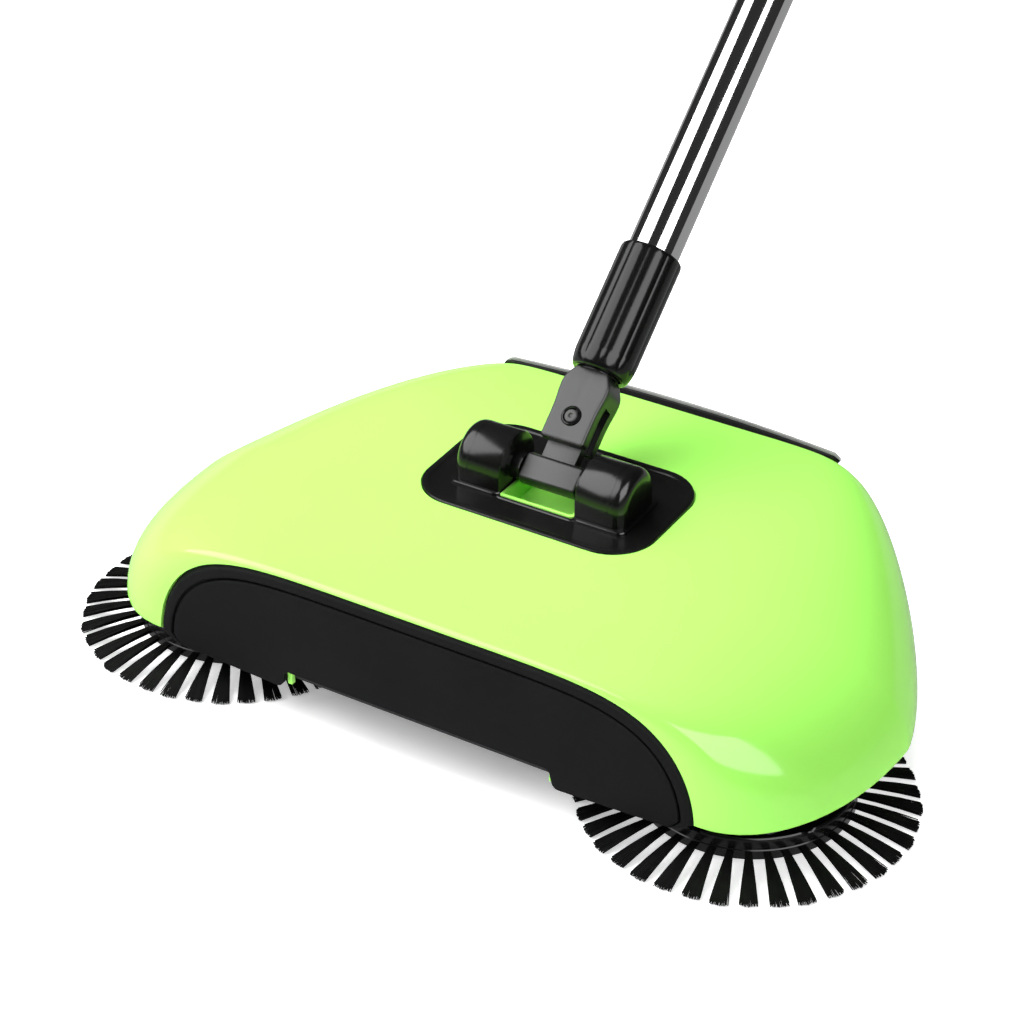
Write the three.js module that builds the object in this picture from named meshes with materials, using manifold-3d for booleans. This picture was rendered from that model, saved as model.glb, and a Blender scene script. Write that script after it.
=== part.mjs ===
// Push-along carpet sweeper: a low lime housing on two driven wheels, a gear train that turns
// two corner disc brushes and a cross roller, a dust bin behind it, and a telescopic pole.
// Millimetres. +X right, +Y towards the rear, +Z up. Forward travel is -Y.
// The origin is on the floor, midway between the two disc brushes, under the front glide.
import * as THREE from 'three';
import { mergeVertices } from 'three/addons/utils/BufferGeometryUtils.js';
import Module from 'manifold-3d';

const wasm = await Module();
wasm.setup();

// ---- driving dimensions --------------------------------------------------------------
const GAP = 0.3;                 // running and seating clearance between pieces

// Housing: arched cross-sections whose half width and height change along Y.
const FRONT_Y = -51;             // flat front opening, closed by the bumper
const WIDEST_Y = 35;
const REAR_Y = 152.2;            // rear opening, closed by the dust bin
const FRONT_HALF = 126.3;        // half widths at those three stations
const WIDEST_HALF = 175;
const REAR_HALF = 107;
const HEM_Z = 20;                // bottom edge of the housing above the floor
const FRONT_TOP = 70;            // crown height at the front, before the rounded edge
const CROWN_RISE = 3;
const REAR_FALL = 7.2;
const WALL = 2.5;

// Disc brushes at the front corners.
const DISC_X = 123;
const HUB_R = 43.5;
const DISC_R = 70;

// Driven wheels and gear train. Every gear has module 2, so pitch radius = tooth count.
const MODULE = 2;
const WHEEL_Y = 84;
const WHEEL_R = 24;
const WHEEL_IN = 84;             // inboard and outboard faces of the wheel web
const WEB_IN = 91;
const WEB_OUT = 94;
const RING_TEETH = 16;
const ROLLER_TEETH = 7;
const CROWN_TEETH = 14;
const UPRIGHT_TEETH = 8;
const LAYSHAFT_TEETH = 10;
const IDLER_TEETH = 16;
const SPINDLE_TEETH = 12;
const TRAIN_Z = 49.2;            // underside of the flat gear train
const TRAIN_T = 5;

// Roller brush: its pinions run inside the wheels' ring gears.
const ROLLER_ANGLE = THREE.MathUtils.degToRad(210);
const ROLLER_OFFSET = RING_TEETH - ROLLER_TEETH;
const ROLLER_Y = WHEEL_Y + ROLLER_OFFSET * Math.cos(ROLLER_ANGLE);
const ROLLER_Z = WHEEL_R + ROLLER_OFFSET * Math.sin(ROLLER_ANGLE);
const ROLLER_HALF = 77;
const ROLLER_R = 19;

// Chassis floor.
const FLOOR_Z = 16;
const FLOOR_T = 2.5;
const BAY_Y = 103;               // front edge of the dust bin bay
const BAY_HALF = 84.5;

// Rear casters.
const CASTER_X = 92;
const CASTER_Y = 138;
const CASTER_R = 8;

// Handle joint and pole, which leans back from the vertical.
const HINGE_Y = 56;
const HINGE_Z = 79.5;
const LEAN = THREE.MathUtils.degToRad(49.2);
const PLATE_SLOPE = THREE.MathUtils.degToRad(2);
const SEAT_Y = 59;               // middle of the hinge plate's seat on the housing
const SEAT_Z = 72.4;
const PLATE_HALF_X = 54.5;
const PLATE_HALF_Y = 34;
const PLATE_CORNER = 20;
const BOSS_IN = 18;
const BOSS_OUT = 36.6;
const BOSS_R = 14.5;
const PIN_S = 24.7;              // distances along the pole from the tilt axis
const SLEEVE_S = 47;
const SLEEVE_END = 104.5;
const OUTER_TUBE_S = 66;
const OUTER_TUBE_END = 430;
const OUTER_TUBE_R = 11.25;
const INNER_TUBE_S = 84;
const INNER_TUBE_END = 560;
const INNER_TUBE_R = 10.3;
const TUBE_WALL = 0.5;
const GRIP_S = 470;
const GRIP_END = 588;

// ---- materials -----------------------------------------------------------------------
function plastic(colour, roughness) {
  return new THREE.MeshStandardMaterial({ color: colour, roughness: roughness, metalness: 0 });
}
function metal(colour, roughness) {
  return new THREE.MeshStandardMaterial({ color: colour, roughness: roughness, metalness: 1 });
}
const LIME = plastic('#b6f55e', 0.18);
const GLOSS_BLACK = plastic('#101010', 0.15);
const SATIN_BLACK = plastic('#2a2a2c', 0.45);
const CHARCOAL = plastic('#29292b', 0.6);
const GEAR_WHITE = plastic('#e6e4dc', 0.4);
const BRISTLE = plastic('#0c0c0c', 0.7);
const RUBBER = plastic('#1a1a1a', 0.85);
const CHROME = metal('#d8dadc', 0.08);
const STEEL = metal('#9a9c9e', 0.35);

// ---- geometry helpers ----------------------------------------------------------------
// Turns the faces outward when the enclosed volume comes out negative.
function outward(geometry) {
  const bare = new THREE.BufferGeometry();
  bare.setAttribute('position', geometry.getAttribute('position').clone());
  if (geometry.index) bare.setIndex(geometry.index.clone());
  const welded = mergeVertices(bare, 1e-4);
  const p = welded.getAttribute('position');
  const index = welded.index;
  const a = new THREE.Vector3();
  const b = new THREE.Vector3();
  const c = new THREE.Vector3();
  let volume = 0;
  for (let i = 0; i < index.count; i += 3) {
    a.fromBufferAttribute(p, index.getX(i));
    b.fromBufferAttribute(p, index.getX(i + 1));
    c.fromBufferAttribute(p, index.getX(i + 2));
    volume += a.dot(b.cross(c));
  }
  if (volume < 0) {
    for (let i = 0; i < index.count; i += 3) {
      const second = index.getX(i + 1);
      index.setX(i + 1, index.getX(i + 2));
      index.setX(i + 2, second);
    }
  }
  return welded;
}

function toSolid(geometry) {
  const g = outward(geometry);
  const vertProperties = new Float32Array(g.getAttribute('position').array);
  const triVerts = new Uint32Array(g.index.array);
  return new wasm.Manifold(new wasm.Mesh({ numProp: 3, vertProperties, triVerts }));
}

function fromSolid(solid) {
  const mesh = solid.getMesh();
  const g = new THREE.BufferGeometry();
  g.setAttribute('position', new THREE.BufferAttribute(new Float32Array(mesh.vertProperties), 3));
  g.setIndex(new THREE.BufferAttribute(new Uint32Array(mesh.triVerts), 1));
  return g;
}

function join(...pieces) {
  return fromSolid(pieces.map(toSolid).reduce((whole, piece) => whole.add(piece)));
}

function cut(body, ...tools) {
  return fromSolid(tools.map(toSolid).reduce((rest, tool) => rest.subtract(tool), toSolid(body)));
}

function common(first, second) {
  return fromSolid(toSolid(first).intersect(toSolid(second)));
}

function mirrored(geometry) {
  return outward(geometry.clone().scale(-1, 1, 1));
}

function block(x0, x1, y0, y1, z0, z1) {
  const g = new THREE.BoxGeometry(x1 - x0, y1 - y0, z1 - z0);
  return g.translate((x0 + x1) / 2, (y0 + y1) / 2, (z0 + z1) / 2);
}

// A prism whose outline is drawn in (Y, Z), (X, Z) or (X, Y) for the axis X, Y or Z.
function prism(shape, axis, from, to, curveSegments = 8) {
  const g = new THREE.ExtrudeGeometry(shape, { depth: to - from, bevelEnabled: false, curveSegments });
  g.translate(0, 0, from);
  const m = new THREE.Matrix4();
  if (axis === 'x') m.set(0, 0, 1, 0, 1, 0, 0, 0, 0, 1, 0, 0, 0, 0, 0, 1);
  if (axis === 'y') m.set(1, 0, 0, 0, 0, 0, 1, 0, 0, 1, 0, 0, 0, 0, 0, 1);
  return outward(g.applyMatrix4(m));
}

// A round solid about the axis X, Y or Z from a closed (radius, distance) profile.
function turned(profile, axis, segments = 24) {
  const points = profile.map(([r, d]) => new THREE.Vector2(r, d));
  const g = new THREE.LatheGeometry(points, segments);
  if (axis === 'x') g.rotateZ(-Math.PI / 2);
  if (axis === 'z') g.rotateX(Math.PI / 2);
  return outward(g);
}

function rod(radius, axis, from, to, segments = 12) {
  return turned([[0, from], [radius, from], [radius, to], [0, to]], axis, segments);
}

function pipe(outer, inner, axis, from, to, segments = 24) {
  const wall = [[inner, from], [outer, from], [outer, to], [inner, to], [inner, from]];
  return turned(wall, axis, segments);
}

// Gear outline with straight-sided teeth; the fractions are tooth widths over the pitch.
function gearShape(teeth, rootR, tipR, rootFraction, tipFraction, phase) {
  const shape = new THREE.Shape();
  const point = (r, angle) => new THREE.Vector2(r * Math.cos(angle), r * Math.sin(angle));
  const outline = [];
  for (let i = 0; i < teeth; i += 1) {
    const middle = phase + (i * 2 * Math.PI) / teeth;
    const rootHalf = (rootFraction * Math.PI) / teeth;
    const tipHalf = (tipFraction * Math.PI) / teeth;
    outline.push(point(rootR, middle - rootHalf), point(tipR, middle - tipHalf));
    outline.push(point(tipR, middle + tipHalf), point(rootR, middle + rootHalf));
  }
  shape.setFromPoints(outline);
  return shape;
}

const ADDENDUM = 0.75 * MODULE;
const DEDENDUM = 1.15 * MODULE;
function spurShape(teeth, phase) {
  return gearShape(teeth, teeth - DEDENDUM, teeth + ADDENDUM, 0.5, 0.2, phase);
}

function roundedRectangle(x0, x1, y0, y1, r) {
  const s = new THREE.Shape();
  s.moveTo(x0 + r, y0);
  s.lineTo(x1 - r, y0);
  s.absarc(x1 - r, y0 + r, r, -Math.PI / 2, 0, false);
  s.lineTo(x1, y1 - r);
  s.absarc(x1 - r, y1 - r, r, 0, Math.PI / 2, false);
  s.lineTo(x0 + r, y1);
  s.absarc(x0 + r, y1 - r, r, Math.PI / 2, Math.PI, false);
  s.lineTo(x0, y0 + r);
  s.absarc(x0 + r, y0 + r, r, Math.PI, 1.5 * Math.PI, false);
  return s;
}

// ---- housing form --------------------------------------------------------------------
function halfWidth(y, inset) {
  if (y < WIDEST_Y) {
    const c = Math.min(1, (WIDEST_Y - y) / (WIDEST_Y - FRONT_Y - inset));
    return FRONT_HALF + (WIDEST_HALF - inset - FRONT_HALF) * (1 - c ** 2.17) ** (1 / 2.17);
  }
  const c = Math.min(1, (y - WIDEST_Y) / (REAR_Y - WIDEST_Y));
  return REAR_HALF - inset + (WIDEST_HALF - REAR_HALF) * (1 - c ** 1.25) ** (1 / 1.25);
}

function crown(y, inset) {
  const t = THREE.MathUtils.clamp((y - FRONT_Y) / 150, 0, 1);
  const fall = Math.max(0, (y - 70) / (REAR_Y - 70));
  const edge = inset > 0 ? 0 : Math.max(0, 1 - (y - FRONT_Y) / 4);
  const rounding = 2 * (1 - Math.sqrt(1 - edge * edge));
  return FRONT_TOP + CROWN_RISE * t * t * (3 - 2 * t) - REAR_FALL * fall * fall - inset - rounding;
}

function squareness(y) {
  if (y < WIDEST_Y) return 4.4 + 1.5 * ((WIDEST_Y - y) / (WIDEST_Y - FRONT_Y)) ** 2;
  return 4.4 + 5.2 * ((y - WIDEST_Y) / (REAR_Y - WIDEST_Y)) ** 2;
}

// Point of an arched section: angle 0 is the right hem, pi is the left hem.
function archPoint(angle, half, top, power) {
  const c = Math.cos(angle);
  const s = Math.max(0, Math.sin(angle));
  const x = half * Math.sign(c) * Math.abs(c) ** (2 / power);
  return [x, HEM_Z + (top - HEM_Z) * s ** (2 / 1.78)];
}

function housingSkin() {
  const along = 16;
  const around = 22;
  const g = new THREE.BoxGeometry(1, 1, 1, along, around, 1);
  const p = g.getAttribute('position');
  for (let i = 0; i < p.count; i += 1) {
    const u = p.getX(i) + 0.5;
    const inset = p.getZ(i) > 0 ? 0 : WALL;
    const front = FRONT_Y + inset;
    const turn = Math.min(1, u / 0.45) * (Math.PI / 2);
    const back = Math.max(0, (u - 0.45) / 0.55);
    const y = WIDEST_Y - (WIDEST_Y - front) * Math.cos(turn) + (REAR_Y - WIDEST_Y) * back;
    const angle = (p.getY(i) + 0.5) * Math.PI;
    const [x, z] = archPoint(angle, halfWidth(y, inset), crown(y, inset), squareness(y));
    p.setXYZ(i, x, y, z);
  }
  return outward(g);
}

// Moves a piece drawn about the origin onto the sloping seat for the hinge plate.
function onSeat(geometry) {
  return geometry.rotateX(PLATE_SLOPE).translate(0, SEAT_Y, SEAT_Z);
}

const SCREWS = [[60, -30], [-60, -30], [136, 66], [-136, 66]];

function topShell() {
  const wide = PLATE_HALF_X + GAP;
  const deep = PLATE_HALF_Y + GAP;
  const seat = prism(roundedRectangle(-wide, wide, -deep, deep, PLATE_CORNER), 'z', -1.5, 6);
  const tray = block(-20, 20, 39, 74, 62.5, 71);
  const trayHollow = block(-18, 18, 41, 72, 64.5, 90);
  const bosses = SCREWS.map(([x, y]) => {
    const top = archTopAt(x, y) - 2.6;
    return rod(4, 'z', FLOOR_Z + FLOOR_T + GAP, top, 12).translate(x, y, 0);
  });
  const holes = SCREWS.map(([x, y]) => rod(1.9, 'z', FLOOR_Z, 40, 12).translate(x, y, 0));
  const hook = block(61, 63.5, -48.7, -46.4, 14.2, 68.8);
  const whole = join(housingSkin(), tray, ...bosses, hook, mirrored(hook));
  return cut(whole, onSeat(seat), trayHollow, ...holes);
}

// Height of the outer skin over a point of the plan.
function archTopAt(x, y) {
  const c = (Math.abs(x) / halfWidth(y, 0)) ** (squareness(y) / 2);
  return HEM_Z + (crown(y, 0) - HEM_Z) * Math.sqrt(1 - c * c) ** (2 / 1.78);
}

// ---- bumper, chassis and what is fixed to them --------------------------------------------
function frontBumper() {
  const half = FRONT_HALF - 0.5;
  const outline = [];
  for (let i = 0; i <= 36; i += 1) {
    const [x, z] = archPoint((i / 36) * Math.PI, half, 67.2, 5.9);
    outline.push(new THREE.Vector2(x, z));
  }
  for (const [x, z] of [[-119, 16], [-64.5, 13.5], [-62.5, 22], [62.5, 22], [64.5, 13.5], [119, 16]]) {
    outline.push(new THREE.Vector2(x, z));
  }
  const face = prism(new THREE.Shape(outline), 'y', FRONT_Y - 0.4, FRONT_Y + 2);
  const clips = [-95, -35, 35, 95].map((x) => block(x - 6, x + 6, -49.5, -42, 40, 43));
  return join(face, ...clips);
}

function floorOutline() {
  const right = [];
  const steps = 18;
  for (let i = 0; i <= steps; i += 1) {
    const y = -46 + (194 * i) / steps;
    right.push(new THREE.Vector2(halfWidth(y, 0) - 6, y));
  }
  right[0].x = 118;
  const left = right.map((v) => new THREE.Vector2(-v.x, v.y)).reverse();
  return new THREE.Shape(right.concat(left));
}

// Stations of the flat gear train, from the upright pinion to the disc brush spindle.
const TRAIN_LENGTH = LAYSHAFT_TEETH + 4 * IDLER_TEETH + SPINDLE_TEETH;
const UPRIGHT_X = DISC_X - Math.sqrt(TRAIN_LENGTH ** 2 - WHEEL_Y ** 2);
function trainPoint(distance) {
  const t = distance / TRAIN_LENGTH;
  return [UPRIGHT_X + (DISC_X - UPRIGHT_X) * t, WHEEL_Y * (1 - t)];
}
const IDLER_1 = trainPoint(LAYSHAFT_TEETH + IDLER_TEETH);
const IDLER_2 = trainPoint(LAYSHAFT_TEETH + 3 * IDLER_TEETH);

function chassisSide() {
  const deck = FLOOR_Z + 1;
  const bearing = block(79.5, 82.5, ROLLER_Y - 10, ROLLER_Y + 10, 12, 30);
  const axleBlock = block(UPRIGHT_X - 4, UPRIGHT_X + 5, WHEEL_Y - 8, WHEEL_Y + 8, deck, 34.8);
  const pieces = [bearing, axleBlock, rod(2.5, 'z', 30, 56).translate(UPRIGHT_X, WHEEL_Y, 0)];
  for (const [x, y] of [IDLER_1, IDLER_2]) {
    pieces.push(rod(5, 'z', deck, TRAIN_Z - GAP).translate(x, y, 0));
    pieces.push(rod(2.5, 'z', deck, 56).translate(x, y, 0));
  }
  pieces.push(rod(9, 'z', FLOOR_Z, TRAIN_Z - GAP, 20).translate(DISC_X, 0, 0));
  for (const x of [CASTER_X - 6.7, CASTER_X + 4.7]) {
    pieces.push(block(x, x + 2, CASTER_Y - 6, CASTER_Y + 6, 3.5, deck));
  }
  return pieces;
}

function chassis() {
  const floor = prism(floorOutline(), 'z', FLOOR_Z, FLOOR_Z + FLOOR_T);
  const post = block(-24, 24, -9, 9, 2.5, FLOOR_Z + 1);
  const right = chassisSide();
  const whole = join(floor, post, ...right, ...right.map(mirrored));
  const openings = [
    block(-78.8, 78.8, 55, 97, 0, 40),
    block(-BAY_HALF, BAY_HALF, BAY_Y, 160, 0, 40),
    block(-22, 22, -7, 7, 4.5, 40),
  ];
  const side = [
    block(83.2, 100, WHEEL_Y - 27, WHEEL_Y + 27, 0, 40),
    rod(3 + GAP, 'x', 78, 84).translate(0, ROLLER_Y, ROLLER_Z),
    rod(3 + GAP, 'x', 95, 108.2).translate(0, WHEEL_Y, WHEEL_R),
    rod(5 + GAP, 'z', 0, 60).translate(DISC_X, 0, 0),
    rod(1.5 + GAP, 'x', 80, 104, 12).translate(0, CASTER_Y, CASTER_R),
  ];
  const holes = SCREWS.map(([x, y]) => rod(1.9, 'z', 0, 40, 12).translate(x, y, 0));
  return cut(whole, ...openings, ...side, ...side.map(mirrored), ...holes);
}

function screw() {
  const profile = [[0, 13.2], [2.6, 13.2], [3.6, 14.4], [3.6, 15.7], [1.5, 15.7], [1.5, 32], [0, 32]];
  return turned(profile, 'z', 12);
}

// ---- wheels, roller and gears --------------------------------------------------------------
function wheelHub() {
  const hollow = gearShape(RING_TEETH, 14.6, 18.4, 0.82, 0.46, ROLLER_ANGLE);
  const rim = cut(rod(20.9, 'x', WHEEL_IN, WEB_OUT, 32), prism(hollow, 'x', WHEEL_IN - 1, WEB_IN));
  const collar = rod(6, 'x', WEB_OUT - 1, 100, 20);
  const teeth = [];
  for (let i = 0; i < CROWN_TEETH; i += 1) {
    const tooth = new THREE.Shape();
    tooth.setFromPoints([[93.5, -1.25], [97.9, -0.4], [97.9, 0.4], [93.5, 1.25]].map(
      ([x, y]) => new THREE.Vector2(x, y)));
    const g = prism(tooth, 'z', CROWN_TEETH - 2.5, CROWN_TEETH + 2.5);
    teeth.push(g.rotateX(((i + 0.5) * 2 * Math.PI) / CROWN_TEETH));
  }
  return cut(join(rim, collar, ...teeth), rod(3 + GAP, 'x', 80, 101));
}

function tyre() {
  const profile = [[21.2, 84.3], [23.2, 84.3], [24, 85.6], [24, 94.4], [23.2, 95.7], [21.2, 95.7],
    [21.2, 84.3]];
  return turned(profile, 'x', 32);
}

// Direction of the flat train in plan, from the upright pinion to the disc brush spindle.
const HEADING = Math.atan2(-WHEEL_Y, DISC_X - UPRIGHT_X);

// Upright pinion: small teeth in the wheel's crown, larger teeth in the flat train.
function uprightPinion() {
  const low = prism(spurShape(UPRIGHT_TEETH, Math.PI), 'z', 35.2, 41);
  const neck = rod(5, 'z', 40.5, TRAIN_Z + 0.5);
  const high = prism(spurShape(LAYSHAFT_TEETH, HEADING), 'z', TRAIN_Z, TRAIN_Z + TRAIN_T);
  return cut(join(low, neck, high), rod(2.5 + GAP, 'z', 30, 60));
}

// Phase of a gear so that a tooth or a space faces back along the train.
function facingBack(teeth, tooth) {
  return HEADING + Math.PI + (tooth ? 0 : Math.PI / teeth);
}

function idlerGear(tooth) {
  const gear = prism(spurShape(IDLER_TEETH, facingBack(IDLER_TEETH, tooth)), 'z', TRAIN_Z, TRAIN_Z + TRAIN_T);
  return cut(gear, rod(2.5 + GAP, 'z', 40, 60));
}

function spindle() {
  const gear = spurShape(SPINDLE_TEETH, facingBack(SPINDLE_TEETH, false));
  return join(rod(5, 'z', 4, TRAIN_Z + 1), prism(gear, 'z', TRAIN_Z, TRAIN_Z + TRAIN_T));
}

function rollerPinion() {
  const gear = prism(spurShape(ROLLER_TEETH, ROLLER_ANGLE), 'x', 84.8, 90.4);
  return cut(gear, rod(3 + GAP, 'x', 80, 95));
}

// One helical row of bristles on the roller.
function bristleRow(start) {
  const g = new THREE.BoxGeometry(2 * ROLLER_HALF - 4, 3, ROLLER_R - 9.3, 14, 1, 1);
  const p = g.getAttribute('position');
  for (let i = 0; i < p.count; i += 1) {
    const r = 9.3 + (ROLLER_R - 9.3) / 2 + p.getZ(i);
    const twist = start + (p.getX(i) / ROLLER_HALF) * (Math.PI / 3);
    const side = p.getY(i);
    p.setY(i, r * Math.cos(twist) - side * Math.sin(twist));
    p.setZ(i, r * Math.sin(twist) + side * Math.cos(twist));
  }
  return outward(g);
}

function discHub() {
  const profile = [[5 + GAP, 3.6], [9, 3.6], [9, 10.8], [41.5, 10.8], [41.5, 3], [HUB_R, 3],
    [HUB_R, 12.2], [42.7, 13], [36, 13], [36, 12.6], [5 + GAP, 12.6], [5 + GAP, 3.6]];
  return turned(profile, 'z', 36);
}

function discBristles() {
  const profile = [[HUB_R + GAP, 3.4], [DISC_R, 0.6], [DISC_R, 1.8], [HUB_R + GAP, 8.6], [HUB_R + GAP, 3.4]];
  return turned(profile, 'z', 36);
}

// ---- dust bin --------------------------------------------------------------------------------
// How far the bin's rear face bows out behind the housing.
function bow(x) {
  return 6 * Math.max(0, 1 - (x / 88) ** 2);
}

// Strip in plan that follows the bowed rear face; a straight strip has a flat front edge.
function bowedStrip(half, straight, z0, z1) {
  const steps = 18;
  const inner = [];
  const outer = [];
  for (let i = 0; i <= steps; i += 1) {
    const x = -half + (2 * half * i) / steps;
    inner.push(new THREE.Vector2(x, REAR_Y + 0.4 + (straight ? 0 : bow(x))));
    outer.push(new THREE.Vector2(x, REAR_Y + 2.8 + bow(x)));
  }
  return prism(new THREE.Shape(inner.concat(outer.reverse())), 'z', z0, z1);
}

function rearArch(half, top) {
  const outline = [];
  for (let i = 0; i <= 28; i += 1) {
    const [x, z] = archPoint((i / 28) * Math.PI, half, top, 9.6);
    outline.push(new THREE.Vector2(x, z));
  }
  outline.push(new THREE.Vector2(-half, 14.5), new THREE.Vector2(half, 14.5));
  return prism(new THREE.Shape(outline), 'y', 140, 170);
}

function dustBin() {
  const tray = cut(
    block(-82.5, 82.5, BAY_Y + 0.5, REAR_Y + 2, 14.5, 54),
    block(-80.5, 80.5, BAY_Y + 2.5, REAR_Y - 2, 16.5, 60),
    block(-80.5, 80.5, BAY_Y - 2, BAY_Y + 4, 20, 60));
  const panel = common(bowedStrip(106, false, 14.5, 62.6), rearArch(106, 62.6));
  return join(tray, panel);
}

function binTrim() {
  return bowedStrip(84, true, 62.9, 65.6);
}

// ---- handle ----------------------------------------------------------------------------------
function tombstone(half, foot) {
  const s = new THREE.Shape();
  s.moveTo(-half, foot);
  s.lineTo(half, foot);
  s.lineTo(half, 0);
  s.absarc(0, 0, half, 0, Math.PI, false);
  s.lineTo(-half, foot);
  return s;
}

function boss() {
  const bevel = 4;
  const g = new THREE.ExtrudeGeometry(tombstone(BOSS_R - bevel, -3.6), {
    depth: BOSS_OUT - BOSS_IN, bevelThickness: bevel, bevelSize: bevel, bevelSegments: 3, curveSegments: 10,
  });
  g.translate(0, 0, BOSS_IN);
  const m = new THREE.Matrix4().set(0, 0, 1, 0, 1, 0, 0, HINGE_Y, 0, 1, 0, HINGE_Z, 0, 0, 0, 1);
  const whole = outward(g.applyMatrix4(m));
  return cut(whole, block(0, BOSS_IN, 20, 90, 50, 110));
}

function hingeBase() {
  const outline = roundedRectangle(-PLATE_HALF_X, PLATE_HALF_X, -PLATE_HALF_Y, PLATE_HALF_Y, PLATE_CORNER);
  const plate = onSeat(prism(outline, 'z', -1.2, 0.9));
  const window = block(-17, 17, 43, 70, 60, 90);
  const right = boss();
  const bore = rod(2.5 + GAP, 'x', -32, 32).translate(0, HINGE_Y, HINGE_Z);
  return cut(join(cut(plate, window), right, mirrored(right)), bore);
}

// Pieces of the pole are drawn upright about Z with the tilt axis at the origin.
function handleYoke() {
  const barrel = cut(rod(6.8, 'x', -13.3, 13.3, 20), block(-20, 20, -10, -4.5, -10, 10));
  const tongue = new THREE.Shape();
  tongue.moveTo(-8, 0);
  tongue.lineTo(8, 0);
  tongue.lineTo(8, PIN_S);
  tongue.absarc(0, PIN_S, 8, 0, Math.PI, false);
  tongue.lineTo(-8, 0);
  const whole = join(barrel, prism(tongue, 'y', -2.7, 2.7));
  const bore = rod(2.5 + GAP, 'x', -20, 20);
  return cut(whole, bore, rod(2.5 + GAP, 'y', -10, 10).translate(0, 0, PIN_S));
}

function neckClevis() {
  const body = block(-10.3, 10.3, -7.9, 7.9, 13.5, SLEEVE_S - GAP);
  const shoulder = rod(9.2, 'z', SLEEVE_S - 1, 64, 24);
  const slot = block(-12, 12, -3, 3, 0, PIN_S + 8.6);
  const bore = rod(2.5 + GAP, 'y', -10, 10).translate(0, 0, PIN_S);
  return cut(join(body, shoulder), slot, bore);
}

function swivelPin() {
  const profile = [[0, -9.4], [3.2, -9.4], [4.2, -8.2], [2.5, -8.2], [2.5, 8.2], [4.2, 8.2], [3.2, 9.4],
    [0, 9.4]];
  return turned(profile, 'y', 14).translate(0, 0, PIN_S);
}

// Socket sleeve with long grip flutes and rounded ends.
function handleSleeve() {
  const profile = [[9.5, SLEEVE_S], [11.4, SLEEVE_S], [13.1, SLEEVE_S + 3], [13.75, SLEEVE_S + 7],
    [13.75, SLEEVE_END - 2], [13, SLEEVE_END], [OUTER_TUBE_R + GAP, SLEEVE_END],
    [OUTER_TUBE_R + GAP, 65.5], [9.5, 65.5], [9.5, SLEEVE_S]];
  const flutes = [];
  for (let i = 0; i < 10; i += 1) {
    const flute = rod(1.6, 'z', SLEEVE_S + 9, SLEEVE_END - 5, 6).translate(14.4, 0, 0);
    flutes.push(flute.rotateZ((i + 0.5) * (Math.PI / 5)));
  }
  return cut(turned(profile, 'z', 30), ...flutes);
}

function lockCollar() {
  const seat = OUTER_TUBE_END + GAP;
  const profile = [[OUTER_TUBE_R + GAP, 414], [12.6, 414], [14.2, 417], [14.2, 446], [12.8, 450],
    [INNER_TUBE_R + GAP, 450], [INNER_TUBE_R + GAP, seat], [OUTER_TUBE_R + GAP, seat],
    [OUTER_TUBE_R + GAP, 414]];
  return turned(profile, 'z', 20);
}

function guidePlug() {
  const inside = INNER_TUBE_R - TUBE_WALL - GAP;
  const profile = [[6, INNER_TUBE_S - 6], [10.3, INNER_TUBE_S - 6], [10.3, INNER_TUBE_S - GAP],
    [inside, INNER_TUBE_S - GAP], [inside, INNER_TUBE_S + 14], [6, INNER_TUBE_S + 14], [6, INNER_TUBE_S - 6]];
  return turned(profile, 'z', 16);
}

function grip() {
  const r = INNER_TUBE_R + GAP;
  const profile = [[r, GRIP_S], [12.6, GRIP_S], [14, GRIP_S + 4], [13.2, GRIP_S + 14]];
  for (let i = 1; i <= 5; i += 1) {
    profile.push([13.4 + 1.1 * Math.sin((i / 6) * Math.PI), GRIP_S + 14 + i * 16]);
  }
  profile.push([13.6, GRIP_END - 4], [14.4, GRIP_END], [r, GRIP_END], [r, GRIP_S]);
  return turned(profile, 'z', 20);
}

function gripCap() {
  const top = GRIP_END + GAP;
  return turned([[0, top], [14.4, top], [14, top + 4], [11, top + 8], [5, top + 10], [0, top + 10]], 'z', 20);
}

// ---- assembly --------------------------------------------------------------------------------
const sweeper = new THREE.Group();

function place(parent, name, geometry, material, x = 0, y = 0, z = 0) {
  const mesh = new THREE.Mesh(outward(geometry), material);
  mesh.name = name;
  mesh.position.set(x, y, z);
  parent.add(mesh);
}

// Adds the right-hand piece and its mirror image on the left.
function placePair(parent, name, geometry, material, x = 0, y = 0, z = 0) {
  place(parent, `${name}_right`, geometry, material, x, y, z);
  place(parent, `${name}_left`, mirrored(geometry), material, -x, y, z);
}

place(sweeper, 'top_shell', topShell(), LIME);
place(sweeper, 'front_bumper', frontBumper(), CHARCOAL);
place(sweeper, 'chassis', chassis(), SATIN_BLACK);
place(sweeper, 'front_glide', block(-24, 24, -8, 8, 0, 2.2), RUBBER);
place(sweeper, 'dust_lip', block(-77, 77, 99, 101, 1.2, FLOOR_Z - GAP), RUBBER);
SCREWS.forEach(([x, y], i) => place(sweeper, `housing_screw_${i + 1}`, screw(), STEEL, x, y, 0));
place(sweeper, 'hinge_base', hingeBase(), GLOSS_BLACK);
placePair(sweeper, 'wheel_axle', rod(3, 'x', 91.4, 108), STEEL, 0, WHEEL_Y, WHEEL_R);
placePair(sweeper, 'caster_axle', rod(1.5, 'x', -6.9, 6.9, 12), STEEL, CASTER_X, CASTER_Y, CASTER_R);

placePair(sweeper, 'wheel_hub', wheelHub(), GEAR_WHITE, 0, WHEEL_Y, WHEEL_R);
placePair(sweeper, 'wheel_tyre', tyre(), RUBBER, 0, WHEEL_Y, WHEEL_R);
const casterRoller = pipe(CASTER_R, 1.8, 'x', -4, 4, 24);
placePair(sweeper, 'caster_roller', casterRoller, SATIN_BLACK, CASTER_X, CASTER_Y, CASTER_R);

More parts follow.
